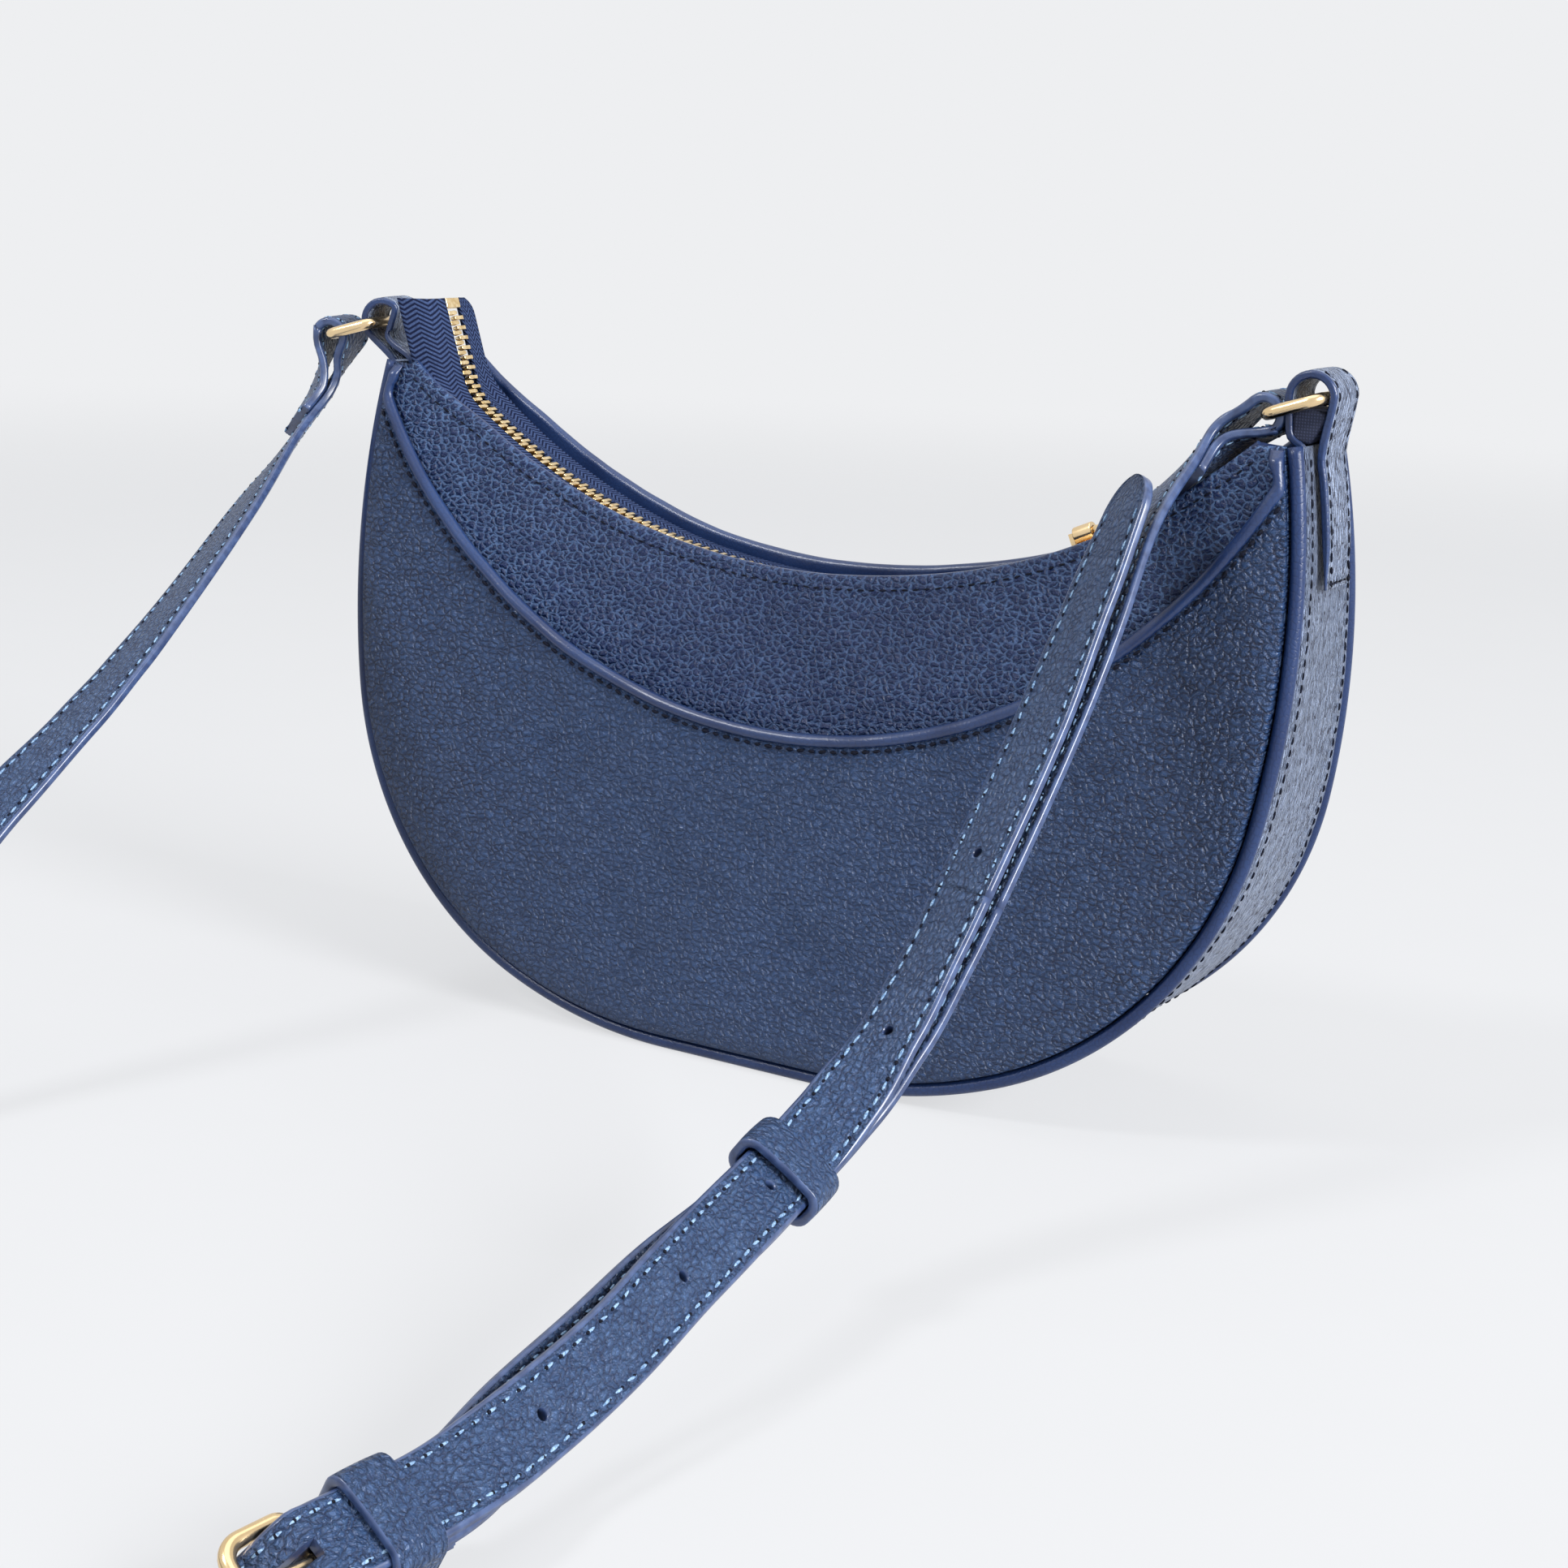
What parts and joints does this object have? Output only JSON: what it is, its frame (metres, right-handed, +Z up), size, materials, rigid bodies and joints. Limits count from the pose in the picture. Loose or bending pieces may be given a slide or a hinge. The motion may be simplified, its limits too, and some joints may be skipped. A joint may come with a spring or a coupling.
{
  "type": "half moon bag",
  "caption": "Crescent leather shoulder bag with piped edges, back slip pocket, metal zip along its hollow mouth, and a buckled strap on wire rings at the tips.",
  "frame": {"origin": "middle of the flat base of the gusset, on the surface that the bag stands on", "axes": "+Z up, +X to the right seen from the pocket side, -Y out of the back panel, where the strap lies"},
  "size_m": [0.2613, 0.3511, 0.1619],
  "materials": {
    "bag_leather": "pebbled, soft sheen, navy",
    "strap_leather": "pebbled, navy, edge painted",
    "edge_paint": "smooth painted edge, blue",
    "gold_hardware": "polished, pale gold",
    "zip_teeth": "polished, pale gold",
    "zip_tape": "herringbone weave, navy",
    "lining": "plain weave, dark navy"
  },
  "bodies": {
    "bag": {"back_panel": "bag_leather", "front_panel": "bag_leather", "pocket_panel": "bag_leather", "gusset": "bag_leather", "back_piping": "bag_leather", "front_piping": "bag_leather", "back_facing": "bag_leather", "front_facing": "bag_leather", "tab_left": "bag_leather", "tab_right": "bag_leather", "strap_left_rise": "strap_leather", "strap_short_rise": "strap_leather", "strap_floor": "strap_leather", "strap_short": "strap_leather", "strap_tail": "strap_leather", "strap_tail_tip": "strap_leather", "strap_fold": "strap_leather", "keeper_fixed": "strap_leather", "buckle_frame": "gold_hardware", "zip_bottom_stop": "gold_hardware", "zip_top_stops": "gold_hardware", "pocket_edge": "edge_paint", "zip_teeth_back": "zip_teeth", "zip_teeth_front": "zip_teeth", "zip_tape_back": "zip_tape", "zip_tape_front": "zip_tape", "back_lining": "lining", "front_lining": "lining", "gusset_lining": "lining"},
    "ring_right": {"ring_right": "gold_hardware", "strap_end_right": "strap_leather"},
    "ring_left": {"ring_left": "gold_hardware", "strap_end_left": "strap_leather"},
    "zip_slider": {"zip_slider": "gold_hardware"},
    "zip_pull": {"zip_pull": "gold_hardware"},
    "keeper_sliding": {"keeper_sliding": "strap_leather"},
    "buckle_prong": {"buckle_prong": "gold_hardware"}
  },
  "joints": [
    {"name": "zip_slide", "type": "hinge", "parent": "bag", "child": "zip_slider", "pos_m": [0, 0, 0.2652], "axis": [0, 1, 0], "range_deg": [-9, 57], "deforming": ["zip_teeth_back", "zip_teeth_front", "zip_tape_back", "zip_tape_front", "strap_short_rise", "strap_tail_tip"]},
    {"name": "pull_swing", "type": "hinge", "parent": "zip_slider", "child": "zip_pull", "pos_m": [0.06296, 0, 0.12378], "axis": [0.9135, 0, 0.4067], "range_deg": [0, 178]},
    {"name": "ring_right_swing", "type": "hinge", "parent": "bag", "child": "ring_right", "pos_m": [0.1138, 0, 0.15629], "axis": [0, 1, 0], "range_deg": [-5, 75], "deforming": ["strap_short_rise", "strap_tail_tip"]},
    {"name": "ring_left_swing", "type": "hinge", "parent": "bag", "child": "ring_left", "pos_m": [-0.12344, -0.00055, 0.15497], "axis": [-0.2588, 0.9659, 0], "range_deg": [-3, 70], "deforming": ["strap_left_rise"]},
    {"name": "keeper_slide", "type": "slide", "parent": "bag", "child": "keeper_sliding", "axis": [0.0687, -0.9869, -0.1459], "range_m": [0, 0.013]},
    {"name": "prong_lift", "type": "hinge", "parent": "bag", "child": "buckle_prong", "pos_m": [0.06932, -0.25185, 0.00789], "axis": [-0.8549, 0.1473, 0.4975], "range_deg": [0, 10]}
  ]
}
